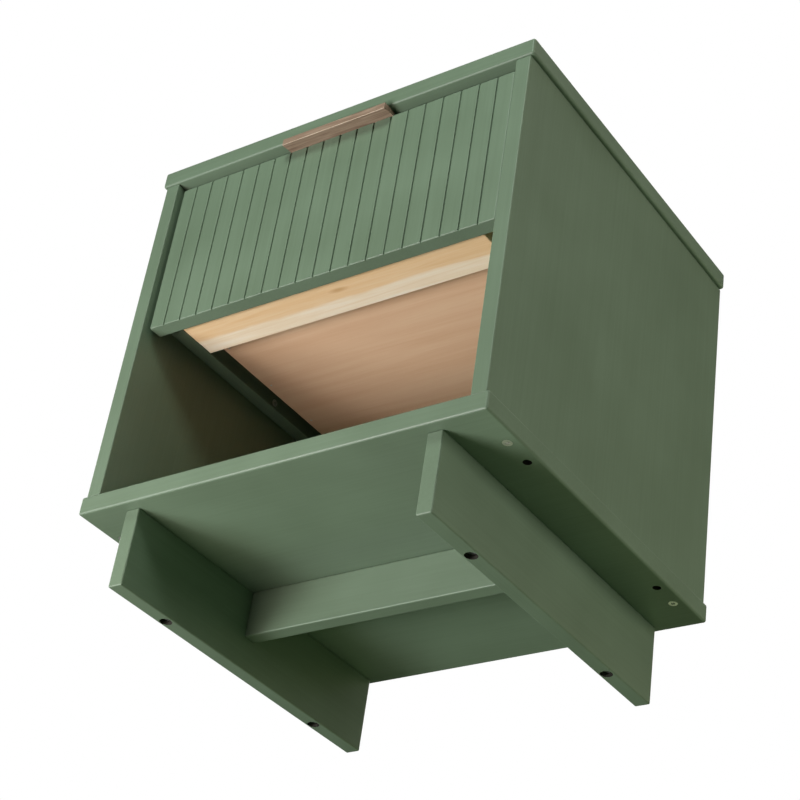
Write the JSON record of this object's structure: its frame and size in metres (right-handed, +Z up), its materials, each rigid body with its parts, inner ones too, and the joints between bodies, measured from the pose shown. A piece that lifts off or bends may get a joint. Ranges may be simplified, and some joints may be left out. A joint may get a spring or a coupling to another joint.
{
  "type": "bedside cabinet",
  "caption": "Bedside cabinet with a grooved inset drawer on ball-bearing slides over an open shelf, standing on two plank feet joined by a stretcher.",
  "frame": {"origin": "on the floor, under the middle of the bounding box, the drawer pull included", "axes": "+Z up; the drawer front faces -Y and the drawer opens along -Y; +X is to the right of someone facing the back from the front"},
  "size_m": [0.45, 0.396, 0.495],
  "materials": {
    "sage_paint": "satin sage-green paint over solid wood and board",
    "walnut": "oiled wood",
    "pine": "bare planed pine",
    "plywood": "bare plywood",
    "beech": "bare turned beech",
    "zinc_steel": "zinc-plated rolled steel",
    "bearing_steel": "polished balls in a pressed steel cage",
    "zinc_screw": "zinc-plated",
    "cast_zinc": "die-cast, bare",
    "zinc_bolt": "zinc plated",
    "brass_insert": "turned",
    "brass_screw": "turned"
  },
  "bodies": {
    "cabinet": {"top_panel": "sage_paint", "bottom_panel": "sage_paint", "left_side_panel": "sage_paint", "right_side_panel": "sage_paint", "back_panel": "sage_paint", "left_runner_board": "sage_paint", "right_runner_board": "sage_paint", "left_foot": "sage_paint", "right_foot": "sage_paint", "stretcher": "sage_paint", "left_outer_slide": "zinc_steel", "right_outer_slide": "zinc_steel", "base_screws": "zinc_screw", "base_dowels": "beech", "cam_bolts": "zinc_screw", "cam_discs": "cast_zinc", "top_dowels": "beech", "foot_bolts": "zinc_bolt", "foot_inserts": "brass_insert", "stretcher_dowels": "beech", "runner_board_screws": "zinc_screw", "slide_cabinet_screws": "zinc_screw"},
    "drawer": {"drawer_front": "sage_paint", "drawer_pull": "walnut", "drawer_box_front": "pine", "drawer_left_side": "pine", "drawer_right_side": "pine", "drawer_back": "pine", "drawer_bottom": "plywood", "drawer_front_batten": "pine", "left_inner_slide": "zinc_steel", "right_inner_slide": "zinc_steel", "slide_drawer_screws": "zinc_screw", "drawer_front_screws": "zinc_screw", "pull_screws": "brass_screw", "drawer_dowels": "beech", "bottom_brads": "zinc_screw"},
    "left_middle": {"left_middle_slide": "zinc_steel"},
    "left_outer_cage": {"left_outer_ball_cage": "bearing_steel"},
    "left_inner_cage": {"left_inner_ball_cage": "bearing_steel"},
    "right_middle": {"right_middle_slide": "zinc_steel"},
    "right_outer_cage": {"right_outer_ball_cage": "bearing_steel"},
    "right_inner_cage": {"right_inner_ball_cage": "bearing_steel"}
  },
  "joints": [
    {"name": "drawer_slide", "type": "slide", "parent": "cabinet", "child": "drawer", "axis": [0, -1, 0], "range_m": [0, 0.34]},
    {"name": "left_middle_slide", "type": "slide", "parent": "cabinet", "child": "left_middle", "axis": [0, -1, 0], "range_m": [0, 0.17]},
    {"name": "left_outer_cage_slide", "type": "slide", "parent": "cabinet", "child": "left_outer_cage", "axis": [0, -1, 0], "range_m": [0, 0.085]},
    {"name": "left_inner_cage_slide", "type": "slide", "parent": "cabinet", "child": "left_inner_cage", "axis": [0, -1, 0], "range_m": [0, 0.255]},
    {"name": "right_middle_slide", "type": "slide", "parent": "cabinet", "child": "right_middle", "axis": [0, -1, 0], "range_m": [0, 0.17]},
    {"name": "right_outer_cage_slide", "type": "slide", "parent": "cabinet", "child": "right_outer_cage", "axis": [0, -1, 0], "range_m": [0, 0.085]},
    {"name": "right_inner_cage_slide", "type": "slide", "parent": "cabinet", "child": "right_inner_cage", "axis": [0, -1, 0], "range_m": [0, 0.255]}
  ],
  "couplings": [
    {"joint": "left_middle_slide", "follows": "drawer_slide", "ratio": 0.5},
    {"joint": "left_outer_cage_slide", "follows": "drawer_slide", "ratio": 0.25},
    {"joint": "left_inner_cage_slide", "follows": "drawer_slide", "ratio": 0.75},
    {"joint": "right_middle_slide", "follows": "drawer_slide", "ratio": 0.5},
    {"joint": "right_outer_cage_slide", "follows": "drawer_slide", "ratio": 0.25},
    {"joint": "right_inner_cage_slide", "follows": "drawer_slide", "ratio": 0.75}
  ]
}
